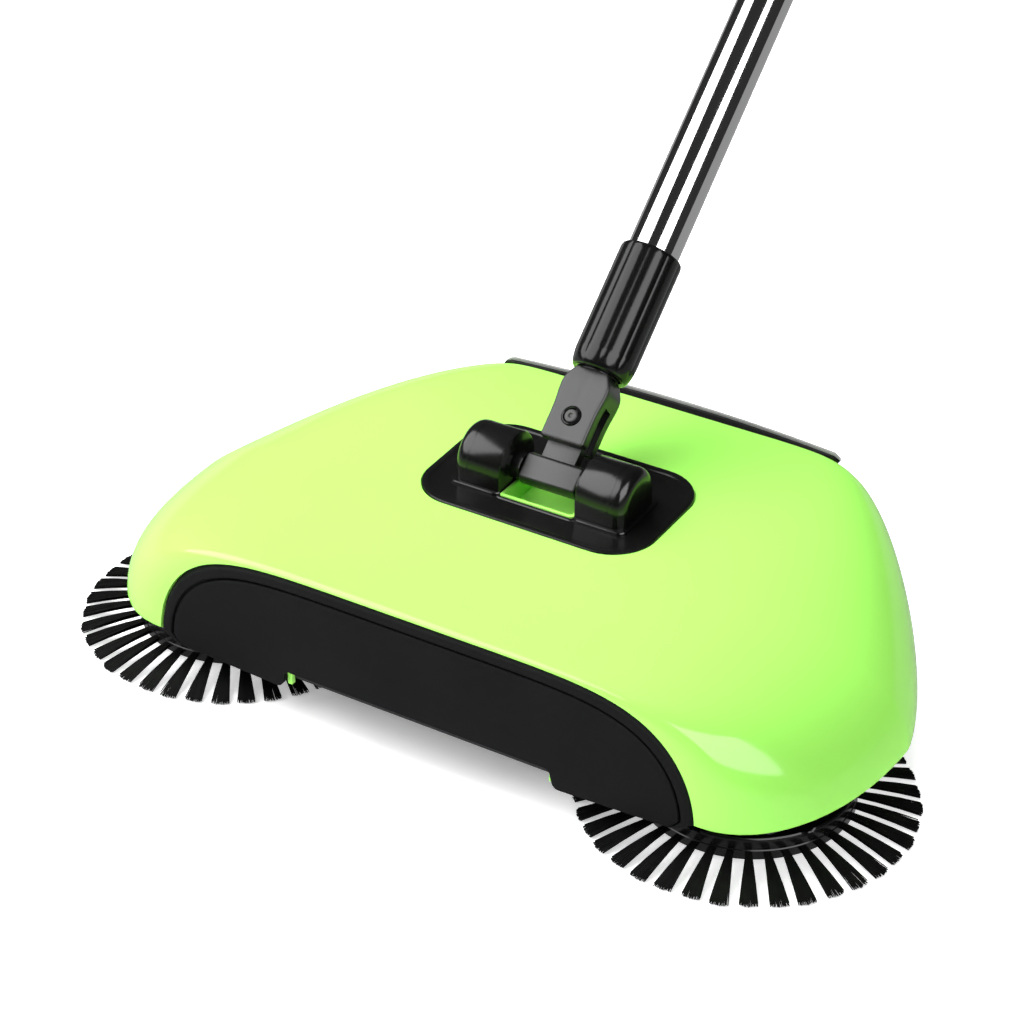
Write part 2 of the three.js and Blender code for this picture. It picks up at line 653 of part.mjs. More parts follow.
const roller = new THREE.Group();
roller.position.set(0, ROLLER_Y, ROLLER_Z);
sweeper.add(roller);
place(roller, 'roller_shaft', rod(3, 'x', -90.6, 90.6), STEEL);
place(roller, 'roller_core', pipe(9, 3 + GAP, 'x', -ROLLER_HALF, ROLLER_HALF, 20), SATIN_BLACK);
placePair(roller, 'roller_pinion', rollerPinion(), GEAR_WHITE);
for (let i = 0; i < 4; i += 1) {
  place(roller, `roller_bristles_${i + 1}`, bristleRow((i * Math.PI) / 2), BRISTLE);
}

placePair(sweeper, 'upright_pinion', uprightPinion(), GEAR_WHITE, UPRIGHT_X, WHEEL_Y, 0);
placePair(sweeper, 'idler_gear_rear', idlerGear(false), GEAR_WHITE, IDLER_1[0], IDLER_1[1], 0);
placePair(sweeper, 'idler_gear_front', idlerGear(true), GEAR_WHITE, IDLER_2[0], IDLER_2[1], 0);
placePair(sweeper, 'disc_spindle', spindle(), GEAR_WHITE, DISC_X, 0, 0);
placePair(sweeper, 'disc_hub', discHub(), GLOSS_BLACK, DISC_X, 0, 0);
placePair(sweeper, 'disc_bristles', discBristles(), BRISTLE, DISC_X, 0, 0);

place(sweeper, 'dust_bin', dustBin(), SATIN_BLACK);
place(sweeper, 'bin_trim', binTrim(), GLOSS_BLACK);

place(sweeper, 'hinge_axle', rod(2.5, 'x', -31.5, 31.5), STEEL, 0, HINGE_Y, HINGE_Z);
placePair(sweeper, 'hinge_washer', pipe(5.9, 2.8, 'x', 13.6, 17.7, 16), GLOSS_BLACK, 0, HINGE_Y, HINGE_Z);

const pole = new THREE.Group();
pole.position.set(0, HINGE_Y, HINGE_Z);
pole.rotation.x = -LEAN;
sweeper.add(pole);
place(pole, 'handle_yoke', handleYoke(), SATIN_BLACK);
place(pole, 'neck_clevis', neckClevis(), SATIN_BLACK);
place(pole, 'swivel_pin', swivelPin(), STEEL);
place(pole, 'handle_sleeve', handleSleeve(), GLOSS_BLACK);
const outerTube = pipe(OUTER_TUBE_R, OUTER_TUBE_R - TUBE_WALL, 'z', OUTER_TUBE_S, OUTER_TUBE_END);
const innerTube = pipe(INNER_TUBE_R, INNER_TUBE_R - TUBE_WALL, 'z', INNER_TUBE_S, INNER_TUBE_END);
place(pole, 'outer_tube', outerTube, CHROME);
place(pole, 'inner_tube', innerTube, CHROME);
place(pole, 'guide_plug', guidePlug(), SATIN_BLACK);
place(pole, 'lock_collar', lockCollar(), GLOSS_BLACK);
place(pole, 'pole_grip', grip(), RUBBER);
place(pole, 'grip_cap', gripCap(), GLOSS_BLACK);

export default sweeper;
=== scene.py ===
import math
import random

import bpy
import bmesh
from mathutils import Matrix, Vector


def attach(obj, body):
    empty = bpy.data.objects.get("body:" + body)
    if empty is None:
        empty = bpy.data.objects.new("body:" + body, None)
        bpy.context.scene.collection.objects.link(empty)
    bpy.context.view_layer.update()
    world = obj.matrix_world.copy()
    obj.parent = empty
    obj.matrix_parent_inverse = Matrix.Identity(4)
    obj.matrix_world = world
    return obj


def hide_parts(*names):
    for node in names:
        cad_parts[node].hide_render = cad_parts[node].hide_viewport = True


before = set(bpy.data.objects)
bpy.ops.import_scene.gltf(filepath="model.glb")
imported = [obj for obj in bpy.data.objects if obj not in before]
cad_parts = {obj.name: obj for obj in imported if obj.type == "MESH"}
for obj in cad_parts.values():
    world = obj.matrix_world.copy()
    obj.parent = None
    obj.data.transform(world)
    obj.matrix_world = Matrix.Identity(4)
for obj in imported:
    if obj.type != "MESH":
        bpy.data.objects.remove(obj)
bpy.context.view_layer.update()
random.seed(7)

MM = 0.001
TAU = 2 * math.pi

# ---- dimensions shared with the CAD, in millimetres --------------------------------------
FRONT_Y, WIDEST_Y, REAR_Y = -51.0, 35.0, 152.2
FRONT_HALF, WIDEST_HALF, REAR_HALF = 126.3, 175.0, 107.0
HEM_Z, FRONT_TOP, CROWN_RISE, REAR_FALL, WALL = 20.0, 70.0, 3.0, 7.2, 2.5
DISC_X, HUB_R, DISC_R = 123.0, 43.5, 70.0
WHEEL_Y, WHEEL_R = 84.0, 24.0
ROLLER_Y, ROLLER_Z, ROLLER_R = 76.206, 19.5, 19.0
CASTER_X, CASTER_Y, CASTER_R = 92.0, 138.0, 8.0
HINGE_Y, HINGE_Z = 56.0, 79.5
LEAN = math.radians(49.2)
PLATE_SLOPE = math.radians(2)
PIN_S = 24.7                                    # along the pole from the tilt axis
SIDES = ((1, "right"), (-1, "left"))

# ---- measures of single pieces, in millimetres -------------------------------------------
SEAT_Y, SEAT_Z = 59, 72.4                       # middle of the seat under the hinge plate
PLATE_HALF_X, PLATE_HALF_Y, PLATE_CORNER = 54.5, 34, 20
BOSS_IN, BOSS_END, BOSS_R = 18, 40.6, 14.5
WINDOW_HALF, WINDOW_FRONT, WINDOW_BACK = 16.9, 41, 72
HOOK_X, HOOK_LOW, HOOK_TOP = 62.25, 14.2, 68.8
BARREL_HALF, BARREL_R = 13.3, 6.8
NECK_LOW, NECK_TOP = 13.5, 46.7                 # along the pole from the tilt axis
SLEEVE_R, SLEEVE_LOBES, LOBE_DEPTH = 13.75, 10, 0.42
OUTER_TUBE_R, INNER_TUBE_R, TUBE_WALL = 11.25, 10.3, 0.5
COLLAR_R, COLLAR_RIBS = 14.2, 36
TRAY_HALF, TRAY_FRONT, TRAY_FLOOR, TRAY_TOP, TRAY_WALL = 82.5, 103.5, 14.5, 54, 2
PANEL_HALF, LIP_HALF, LIP_Z = 106, 84, 62.9
ARCH_STEPS, HEM_STEPS, HOUSING_ROWS = 110, 6, 130    # how finely the housing is divided


# ---- camera ------------------------------------------------------------------------------
camera_data = bpy.data.cameras.new("camera")
camera_data.sensor_width = 36
camera_data.lens = 101.086
camera_data.clip_end = 50
camera = bpy.data.objects.new("camera", camera_data)
camera.location = (0.5112, -0.8069, 0.6872)
camera.rotation_euler = (math.radians(58.2), 0, math.radians(31.8))
bpy.context.scene.collection.objects.link(camera)
bpy.context.scene.camera = camera
bpy.context.scene.view_settings.view_transform = "Standard"


# ---- materials ---------------------------------------------------------------------------
def material(name, colour, roughness, metallic=0.0, tint=0.06, tint_scale=30, grain=0.05,
             grain_scale=900, rough_spread=0.06, edge=0.0, ior=1.5, stretch=(1, 1, 1)):
    """Moulded plastic, rubber or metal: a tone that drifts slowly, a fine surface grain,
    a roughness that varies a little, and edges that are slightly worn."""
    m = bpy.data.materials.new(name)
    m.use_nodes = True
    tree = m.node_tree
    nodes, links = tree.nodes, tree.links
    shader = nodes["Principled BSDF"]
    shader.inputs["Metallic"].default_value = metallic
    shader.inputs["IOR"].default_value = ior
    where = nodes.new("ShaderNodeTexCoord")
    stretched = nodes.new("ShaderNodeMapping")
    stretched.inputs["Scale"].default_value = stretch
    links.new(where.outputs["Object"], stretched.inputs["Vector"])

    def noise(scale, detail):
        n = nodes.new("ShaderNodeTexNoise")
        n.inputs["Scale"].default_value = scale
        n.inputs["Detail"].default_value = detail
        links.new(stretched.outputs["Vector"], n.inputs["Vector"])
        return n

    slow = noise(tint_scale, 3)
    ramp = nodes.new("ShaderNodeValToRGB")
    ramp.color_ramp.elements[0].position = 0.3
    ramp.color_ramp.elements[1].position = 0.7
    ramp.color_ramp.elements[0].color = [c * (1 - tint) for c in colour] + [1]
    ramp.color_ramp.elements[1].color = [min(1, c * (1 + tint)) for c in colour] + [1]
    links.new(slow.outputs["Fac"], ramp.inputs["Fac"])
    last = ramp.outputs["Color"]
    if edge > 0:
        geometry = nodes.new("ShaderNodeNewGeometry")
        worn = nodes.new("ShaderNodeMapRange")
        worn.inputs["From Min"].default_value = 0.52
        worn.inputs["From Max"].default_value = 0.62
        worn.inputs["To Max"].default_value = edge
        links.new(geometry.outputs["Pointiness"], worn.inputs["Value"])
        mix = nodes.new("ShaderNodeMix")
        mix.data_type = "RGBA"
        mix.inputs["B"].default_value = [min(1, c * 2.2 + 0.05) for c in colour] + [1]
        links.new(worn.outputs["Result"], mix.inputs["Factor"])
        links.new(last, mix.inputs["A"])
        last = mix.outputs["Result"]
    links.new(last, shader.inputs["Base Color"])
    fine = noise(grain_scale, 4)
    spread = nodes.new("ShaderNodeMapRange")
    spread.inputs["To Min"].default_value = max(0.02, roughness - rough_spread)
    spread.inputs["To Max"].default_value = roughness + rough_spread
    links.new(fine.outputs["Fac"], spread.inputs["Value"])
    links.new(spread.outputs["Result"], shader.inputs["Roughness"])
    bump = nodes.new("ShaderNodeBump")
    bump.inputs["Strength"].default_value = grain
    bump.inputs["Distance"].default_value = 0.0002
    links.new(fine.outputs["Fac"], bump.inputs["Height"])
    links.new(bump.outputs["Normal"], shader.inputs["Normal"])
    return m


LIME = material("lime_gloss_plastic", (0.385, 0.95, 0.14), 0.12, tint=0.025, tint_scale=9,
                grain=0.04, grain_scale=420, rough_spread=0.03, ior=1.47)
GLOSS_BLACK = material("gloss_black_plastic", (0.005, 0.005, 0.005), 0.16, tint=0.2, grain=0.06,
                       grain_scale=700, edge=0.04, rough_spread=0.05, ior=1.36)
HINGE_BLACK = material("hinge_black_plastic", (0.005, 0.005, 0.005), 0.2, tint=0.2, grain=0.08,
                       grain_scale=700, edge=0.04, rough_spread=0.05, ior=1.46)
SATIN_BLACK = material("satin_black_plastic", (0.0065, 0.0065, 0.0065), 0.36, tint=0.15, grain=0.2,
                       grain_scale=1800, edge=0.08, ior=1.57)
PIN_BLACK = material("worn_satin_plastic", (0.022, 0.022, 0.021), 0.34, tint=0.1, grain=0.15,
                     grain_scale=1500, edge=0.1)
# Painted reflection: the rail's grey stands for the light that the black trim's top mirrors.
RAIL_PAINTED_REFLECTION = material("rail_painted_reflection_grey", (0.3, 0.3, 0.295), 0.34, tint=0.06, grain=0.15,
                     grain_scale=1500)
CHARCOAL = material("matte_charcoal_plastic", (0.007, 0.007, 0.0077), 0.62, tint=0.08, grain=0.3,
                    grain_scale=2400, edge=0.05, ior=1.18)
CHASSIS_BLACK = material("chassis_black_plastic", (0.015, 0.015, 0.016), 0.5, tint=0.12, grain=0.3,
                         grain_scale=1500, edge=0.1)
ACETAL = material("white_acetal", (0.78, 0.77, 0.72), 0.38, tint=0.04, grain=0.15)
NYLON = material("black_nylon_bristle", (0.0025, 0.0025, 0.0025), 0.5, tint=0.35, tint_scale=160,
                 grain=0.1, grain_scale=3000, ior=1.22)
RUBBER = material("black_rubber", (0.012, 0.012, 0.012), 0.78, tint=0.2, tint_scale=60, grain=0.5,
                  grain_scale=1600, edge=0.08)
CHROME = material("chromed_steel", (0.62, 0.622, 0.625), 0.07, metallic=1, tint=0.015, grain=0.02,
                  grain_scale=300, rough_spread=0.025, stretch=(1, 0.2, 0.2))
STEEL = material("plated_steel", (0.56, 0.57, 0.58), 0.3, metallic=1, tint=0.06, grain=0.12,
                 grain_scale=900)


# ---- mesh helpers ------------------------------------------------------------------------
def ring(loops, closed=False):
    """Faces between closed loops with the same number of points. The ends are capped unless
    the last loop joins the first."""
    n = len(loops[0])
    verts = [p for loop in loops for p in loop]
    faces = []
    count = len(loops)
    for i in range(count if closed else count - 1):
        a, b = i * n, ((i + 1) % count) * n
        for j in range(n):
            k = (j + 1) % n
            faces.append((a + j, a + k, b + k, b + j))
    if not closed:
        faces.append(tuple(reversed(range(n))))
        faces.append(tuple(range((count - 1) * n, count * n)))
    return verts, faces


def lathe(profile, axis="z", segments=96, closed=False, origin=(0, 0, 0)):
    """A round solid from (radius, distance) points about an axis through origin."""
    loops = []
    for r, d in profile:
        loop = []
        for i in range(segments):
            a = TAU * i / segments
            u, v = r * math.cos(a), r * math.sin(a)
            p = {"x": (d, u, v), "y": (u, d, v), "z": (u, v, d)}[axis]
            loop.append(tuple(p[k] + origin[k] for k in range(3)))
        loops.append(loop)
    return ring(loops, closed)


def box_mesh(x0, x1, y0, y1, z0, z1):
    bottom = [(x0, y0, z0), (x1, y0, z0), (x1, y1, z0), (x0, y1, z0)]
    top = [(x, y, z1) for x, y, _ in bottom]
    return ring([bottom, top])


def merged(*parts):
    verts, faces = [], []
    for v, f in parts:
        start = len(verts)
        verts += v
        faces += [tuple(i + start for i in face) for face in f]
    return verts, faces


def mapped(mesh, function):
    return [function(*p) for p in mesh[0]], mesh[1]


def flipped(mesh):
    """The mirror image across the middle of the sweeper."""
    return mapped(mesh, lambda x, y, z: (-x, y, z))


def on_pole(mesh):
    """From pole coordinates (across, behind, along) to the sweeper's."""
    c, s = math.cos(LEAN), math.sin(LEAN)
    return mapped(mesh, lambda x, y, z: (x, HINGE_Y + y * c + z * s, HINGE_Z - y * s + z * c))


def raw_object(name, mesh):
    data = bpy.data.meshes.new(name)
    data.from_pydata([[c * MM for c in p] for p in mesh[0]], [], mesh[1])
    bm = bmesh.new()
    bm.from_mesh(data)
    bmesh.ops.recalc_face_normals(bm, faces=bm.faces)
    bm.to_mesh(data)
    bm.free()
    obj = bpy.data.objects.new(name, data)
    bpy.context.scene.collection.objects.link(obj)
    return obj


def apply_modifiers(obj):
    graph = bpy.context.evaluated_depsgraph_get()
    data = bpy.data.meshes.new_from_object(obj.evaluated_get(graph))
    old = obj.data
    obj.modifiers.clear()
    obj.data = data
    bpy.data.meshes.remove(old)


def boolean(obj, mesh, operation):
    tool = raw_object("tool", mesh)
    modifier = obj.modifiers.new("boolean", "BOOLEAN")
    modifier.operation = operation
    modifier.solver = "EXACT"
    modifier.object = tool
    apply_modifiers(obj)
    bpy.data.objects.remove(tool)


def finish_piece(obj, finish, body, replaces=(), crease=30, bevel=0.0):
    if bevel:
        modifier = obj.modifiers.new("bevel", "BEVEL")
        modifier.width = bevel * MM
        modifier.segments = 3
        modifier.limit_method = "ANGLE"
        modifier.angle_limit = math.radians(35)
        apply_modifiers(obj)
    data = obj.data
    data.materials.clear()
    data.materials.append(finish)
    data.shade_smooth()
    data.set_sharp_from_angle(angle=math.radians(crease))
    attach(obj, body)
    if replaces:
        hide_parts(*replaces)
    return obj


def piece(name, mesh, finish, body, replaces=(), crease=30, bevel=0.0):
    return finish_piece(raw_object(name, mesh), finish, body, replaces, crease, bevel)


def arc(cx, cy, r, start, end, steps):
    """Points on a circle, angles in degrees."""
    out = []
    for i in range(steps + 1):
        a = math.radians(start + (end - start) * i / steps)
        out.append((cx + r * math.cos(a), cy + r * math.sin(a)))
    return out


def rounded_rectangle(x0, x1, y0, y1, r, corner=10, side=8):
    """Outline with the same number of points whatever its size, for lofting."""
    corners = [(x1 - r, y1 - r, 0), (x0 + r, y1 - r, 90), (x0 + r, y0 + r, 180), (x1 - r, y0 + r, 270)]
    out = []
    for i, (cx, cy, start) in enumerate(corners):
        out += arc(cx, cy, r, start, start + 90, corner)
        nx, ny, nstart = corners[(i + 1) % 4]
        a = out[-1]
        angle = math.radians(nstart)
        b = (nx + r * math.cos(angle), ny + r * math.sin(angle))
        for k in range(1, side):
            t = k / side
            out.append((a[0] + (b[0] - a[0]) * t, a[1] + (b[1] - a[1]) * t))
    return out


# ---- housing form ------------------------------------------------------------------------
def half_width(y, inset=0.0):
    """Half width of the housing at y, for the outer face or for one that is inset."""
    if y < WIDEST_Y:
        c = min(1, (WIDEST_Y - y) / (WIDEST_Y - FRONT_Y - inset))
        return FRONT_HALF + (WIDEST_HALF - inset - FRONT_HALF) * (1 - c ** 2.17) ** (1 / 2.17)
    c = min(1, (y - WIDEST_Y) / (REAR_Y - WIDEST_Y))
    return REAR_HALF - inset + (WIDEST_HALF - REAR_HALF) * (1 - c ** 1.25) ** (1 / 1.25)


def crown(y, inset=0.0):
    """Height of the housing's top at y."""
    t = min(1, max(0, (y - FRONT_Y) / 150))
    fall = max(0, (y - 70) / (REAR_Y - 70))
    edge = 0 if inset > 0 else max(0, 1 - (y - FRONT_Y) / 4)
    rounding = 2 * (1 - math.sqrt(1 - edge * edge))
    return FRONT_TOP + CROWN_RISE * t * t * (3 - 2 * t) - REAR_FALL * fall ** 2 - inset - rounding


def squareness(y):
    """Power of the arch at y; higher is squarer."""
    if y < WIDEST_Y:
        return 4.4 + 1.5 * ((WIDEST_Y - y) / (WIDEST_Y - FRONT_Y)) ** 2
    return 4.4 + 5.2 * ((y - WIDEST_Y) / (REAR_Y - WIDEST_Y)) ** 2


def arch_point(angle, half, top, power):
    c, s = math.cos(angle), max(0.0, math.sin(angle))
    x = half * math.copysign(abs(c) ** (2 / power), c)
    return x, HEM_Z + (top - HEM_Z) * s ** (2 / 1.78)


def housing_section(u):
    """One closed cross-section of the wall: outer arch, rounded hem, inner arch, rounded hem."""
    lift = 1.25
    turn = min(1, u / 0.45) * math.pi / 2
    back = max(0, (u - 0.45) / 0.55)
    arches = []
    for inset in (0.0, WALL):
        y = WIDEST_Y - (WIDEST_Y - FRONT_Y - inset) * math.cos(turn) + (REAR_Y - WIDEST_Y) * back
        top = crown(y, inset)
        low = math.asin((lift / (top - HEM_Z)) ** 0.89)
        arch = []
        for i in range(ARCH_STEPS + 1):
            angle = low + (math.pi - 2 * low) * i / ARCH_STEPS
            x, z = arch_point(angle, half_width(y, inset), top, squareness(y))
            arch.append((x, y, z))
        arches.append(arch)
    outer, inner = arches

    def hem_arc(a, b):
        points = []
        for k in range(1, HEM_STEPS):
            t = math.pi * k / HEM_STEPS
            blend = (1 - math.cos(t)) / 2
            points.append((a[0] + (b[0] - a[0]) * blend, a[1] + (b[1] - a[1]) * blend,
                           HEM_Z + lift * (1 - math.sin(t))))
        return points

    return outer + hem_arc(outer[-1], inner[-1]) + inner[::-1] + hem_arc(inner[0], outer[0])


def seat_frame(x, y, z):
    """From the hinge plate's own frame to the sloping seat on the housing."""
    c, s = math.cos(PLATE_SLOPE), math.sin(PLATE_SLOPE)
    return x, SEAT_Y + y * c - z * s, SEAT_Z + y * s + z * c


def prism(outline, z0, z1):
    return ring([[(x, y, z0) for x, y in outline], [(x, y, z1) for x, y in outline]])


def build_housing():
    sections = [housing_section(i / HOUSING_ROWS) for i in range(HOUSING_ROWS + 1)]
    n = len(sections[0])
    verts, faces = ring(sections)
    del faces[-2:]
    half = ARCH_STEPS + 1                 # points on each arch
    for base in (0, HOUSING_ROWS * n):    # a strip across the wall closes each open end
        inner_start = half + HEM_STEPS - 1
        for j in range(half - 1):
            a, b = base + j, base + j + 1
            c = base + inner_start + (half - 1 - j) - 1
            d = c + 1
            faces.append((a, b, c, d))
        left = [base + half - 1 + k for k in range(HEM_STEPS + 1)]
        right = [base + inner_start + half - 1 + k for k in range(HEM_STEPS)] + [base]
        faces.append(tuple(left))
        faces.append(tuple(right))
    shell = raw_object("lime_housing", (verts, faces))
    surround = box_mesh(-20, 20, 39, 74, 62.5, 71.2)
    boolean(shell, surround, "UNION")
    seat_x, seat_y = PLATE_HALF_X + 0.3, PLATE_HALF_Y + 0.3
    outline = rounded_rectangle(-seat_x, seat_x, -seat_y, seat_y, PLATE_CORNER, 16)
    seat = mapped(prism(outline, -1.5, 6), seat_frame)
    boolean(shell, seat, "DIFFERENCE")
    window = rounded_rectangle(-WINDOW_HALF, WINDOW_HALF, WINDOW_FRONT, WINDOW_BACK, 1.5, 4)
    boolean(shell, prism(window, 64.5, 90), "DIFFERENCE")
    return finish_piece(shell, LIME, "head", ["top_shell"], crease=28)


build_housing()


def build_hooks():
    """Lime hooks that hang from the housing behind the bumper's two steps, and the lime collar
    that lines the window under the handle joint."""
    right_hook = box_mesh(HOOK_X - 1.1, HOOK_X + 1.1, -48.7, -46.4, HOOK_LOW, HOOK_TOP)
    collar_low, collar_top, collar_wall = 64.3, 72.9, 1.5
    loops = []
    for inset, z in ((0, collar_low), (0, collar_top),
                     (collar_wall, collar_top), (collar_wall, collar_low)):
        half = WINDOW_HALF + 0.7 - inset
        front, back = WINDOW_FRONT + 0.3 + inset, WINDOW_BACK - 0.3 - inset
        outline = rounded_rectangle(-half, half, front, back, 1.2, 4)
        loops.append([(x, y, z) for x, y in outline])
    mesh = merged(right_hook, flipped(right_hook), ring(loops, closed=True))
    piece("housing_hooks", mesh, LIME, "head", bevel=0.25)


build_hooks()


# ---- front bumper ------------------------------------------------------------------------
def filleted(points, steps=6):
    """Rounds the corners of an open polyline; each point is (x, z, radius)."""
    out = []
    for i, (x, z, r) in enumerate(points):
        if r == 0 or i in (0, len(points) - 1):
            out.append((x, z))
            continue
        p = Vector((x, z))
        before = Vector(points[i - 1][:2]) - p
        after = Vector(points[i + 1][:2]) - p
        reach = min(r, before.length / 2, after.length / 2)
        a, b = p + before.normalized() * reach, p + after.normalized() * reach
        for k in range(steps + 1):
            t = k / steps
            q = (1 - t) ** 2 * a + 2 * t * (1 - t) * p + t ** 2 * b
            out.append((q.x, q.y))
    return out


def bumper_outline(inset):
    half = FRONT_HALF - 0.5 - inset
    arch = [arch_point(math.pi * i / 150, half, 67.2 - inset, 5.9) for i in range(151)]
    low = [(-half, 20, 0), (-119 + 0.4 * inset, 16, 3), (-64.5, 13.5, 3), (-62.5, 22, 2),
           (62.5, 22, 2), (64.5, 13.5, 3), (119 - 0.4 * inset, 16, 3), (half, 20, 0)]
    return arch[:-1] + filleted(low)[:-1]


def build_bumper():
    face = FRONT_Y - 0.4
    profile = ((0.25, -49.0), (0.0, -49.3), (0.0, face + 1.7), (0.3, face + 1.2), (1.4, face + 0.15),
               (1.9, face), (4.7, face + 0.03), (5.0, face + 0.2), (5.15, face + 0.6), (5.2, face + 1.7),
               (6.2, face + 1.7), (6.25, face + 0.6), (6.5, face + 0.2), (7.2, face + 0.08),
               (8.6, face + 0.05))
    loops = [[(x, y, z) for x, z in bumper_outline(inset)] for inset, y in profile]
    clips = [box_mesh(x - 6, x + 6, -49.5, -42, 40, 43) for x in (-95, -35, 35, 95)]
    piece("bumper_face", merged(ring(loops), *clips), CHARCOAL, "head", ["front_bumper"], crease=24)


build_bumper()


# ---- hinge base --------------------------------------------------------------------------
def plate_loops():
    profile = ((0.0, -1.2), (0.0, 0.1), (0.25, 0.6), (0.8, 0.9), (2.3, 0.9), (3.0, 0.75),
               (3.5, 0.35), (4.0, 0.2))
    loops = []
    for inset, z in profile:
        half_x, half_y = PLATE_HALF_X - inset, PLATE_HALF_Y - inset
        outline = rounded_rectangle(-half_x, half_x, -half_y, half_y, PLATE_CORNER - inset)
        loops.append([seat_frame(x, y, z) for x, y in outline])
    for grow, z in ((1.6, 0.2), (1.3, 0.5), (0.7, 0.7), (0.0, 0.55), (0.0, -1.2)):
        half = WINDOW_HALF + 0.9 + grow
        outline = rounded_rectangle(-half, half, -17.9 - grow, 12.9 + grow, 1.5 + grow)
        loops.append([seat_frame(x, y, z) for x, y in outline])
    return loops


def boss_loops():
    """Round-topped boss: barrel, shallow seam, domed outer end."""
    dome, seam, groove_r = BOSS_END - 4.8, 33.3, 14.32
    profile = [(BOSS_IN, 13.6), (BOSS_IN + 0.25, 14.2), (BOSS_IN + 0.9, BOSS_R), (seam, BOSS_R),
               (seam + 0.2, groove_r), (seam + 0.5, groove_r), (seam + 0.7, BOSS_R), (dome, BOSS_R)]
    for k in range(1, 13):
        a = math.radians(90 * k / 12)
        profile.append((dome + 4.8 * math.sin(a), BOSS_R - 5.3 * (1 - math.cos(a))))
    profile += [(BOSS_END, 7.5), (BOSS_END, 4)]
    loops = []
    for x, r in profile:
        foot = -6.6
        loop = [(r, foot)] + [(r, foot - foot * k / 5) for k in range(1, 5)]
        loop += arc(0, 0, r, 0, 180, 40)
        loop += [(-r, foot * k / 5) for k in range(1, 5)] + [(-r, foot)]
        loops.append([(x, HINGE_Y + y, HINGE_Z + z) for y, z in loop])
    return loops


def boss_pedestal():
    """The low step that a boss stands on."""
    loops = []
    for grow, z in ((0.0, -0.6), (0.0, 0.9), (0.3, 1.35), (0.9, 1.5)):
        outline = rounded_rectangle(BOSS_IN - 0.6 + grow, BOSS_END + 1.4 - grow, -18.8 + grow, 12.9 - grow,
                                    3.4 - grow, 8, 4)
        loops.append([seat_frame(x, y, z) for x, y in outline])
    return ring(loops)


right_boss = merged(ring(boss_loops()), boss_pedestal())
piece("hinge_plate", merged(ring(plate_loops(), closed=True), right_boss, flipped(right_boss)),
      HINGE_BLACK, "head", ["hinge_base"], crease=32)


# ---- yoke, neck and pin ------------------------------------------------------------------
def build_yoke():
    right_end = [(BARREL_HALF - 0.9, BARREL_R), (BARREL_HALF - 0.3, BARREL_R - 0.2),
                 (BARREL_HALF, BARREL_R - 0.6)]
    left_end = [(-x, r) for x, r in reversed(right_end)]
    loops = []
    for x, r in left_end + right_end:
        loop = []
        for i in range(64):
            a = TAU * i / 64
            y, z = r * math.cos(a), r * math.sin(a)
            loop.append((x, max(y, -4.5 * r / BARREL_R), z))
        loops.append(loop)
    tongue = [(-8, 0), (8, 0)] + arc(0, PIN_S, 8, 0, 180, 32)
    blade = ring([[(x, y, z) for x, z in tongue] for y in (-2.7, 2.7)])
    piece("yoke_barrel", on_pole(merged(ring(loops), blade)), SATIN_BLACK, "yoke", ["handle_yoke"],
          crease=35, bevel=0.35)


build_yoke()


def neck_half(s):
    """Half width of the neck: it swells above the pin and closes in under the sleeve."""
    swell = 0.9 * math.exp(-((s - 37.5) / 6.5) ** 2)
    pinch = max(0, (s - 39.5) / 7.2)
    return 10.2 + swell - 2.7 * pinch ** 1.7


def build_neck():
    loops = []
    steps = 44
    for i in range(steps + 1):
        s = NECK_LOW + (NECK_TOP - NECK_LOW) * i / steps
        close = 0.45 * max(0, 1 - (s - NECK_LOW) / 0.8) ** 2
        half = neck_half(s) - close
        depth = 7.9 - close - 0.5 * max(0, (s - 40) / 6.7) ** 2
        outline = rounded_rectangle(-half, half, -depth, depth, 1.0, 5, 14)
        loop = []
        for x, y in outline:
            seam = 0.08 * math.exp(-(x / 0.35) ** 2) if y < 0 and abs(s - PIN_S) > 5.4 else 0
            loop.append((x, y + seam, s))
        loops.append(loop)
    body = raw_object("neck_body", on_pole(ring(loops)))
    slot = box_mesh(-13, 13, -3, 3, 0, PIN_S + 8.6)
    boolean(body, on_pole(slot), "DIFFERENCE")
    dish_r = 4.55
    for start, end in ((-9, -7.2), (7.2, 9)):
        dish = lathe([(dish_r, start), (dish_r, end)], "y", 64, origin=(0, 0, PIN_S))
        boolean(body, on_pole(dish), "DIFFERENCE")
    finish_piece(body, SATIN_BLACK, "neck", ["neck_clevis"], crease=32)
    lip = lathe([(8.9, 46.2), (9.4, 46.3), (9.4, 63.6), (8.9, 63.8)], "z", 64)
    piece("neck_shoulder", on_pole(lip), GLOSS_BLACK, "neck")


build_neck()

ring_profile = [(3.1, 7.3), (4.3, 7.3), (4.3, 8.0), (4.05, 8.5), (3.6, 8.65), (3.25, 8.3), (3.1, 7.8)]
head_profile = [(2.4, 2.0), (2.4, 7.4), (2.95, 7.5), (2.95, 8.1), (2.75, 8.4), (2.3, 8.55),
                (1.2, 8.6), (0.95, 8.5), (0.75, 8.2), (0.3, 8.1)]
for y_sign, label in ((-1, "front"), (1, "back")):
    rim = mapped(lathe(ring_profile, "y", 64, closed=True), lambda x, y, z: (x, y_sign * y, z + PIN_S))
    head = mapped(lathe(head_profile, "y", 64), lambda x, y, z: (x, y_sign * y, z + PIN_S))
    piece("pin_rim_" + label, on_pole(rim), GLOSS_BLACK, "neck")
    piece("pin_head_" + label, on_pole(head), PIN_BLACK, "neck",
          ["swivel_pin"] if y_sign < 0 else ())
shank = lathe([(2.4, -7.6), (2.4, 7.6)], "y", 48, origin=(0, 0, PIN_S))
piece("pin_shank", on_pole(shank), STEEL, "neck")


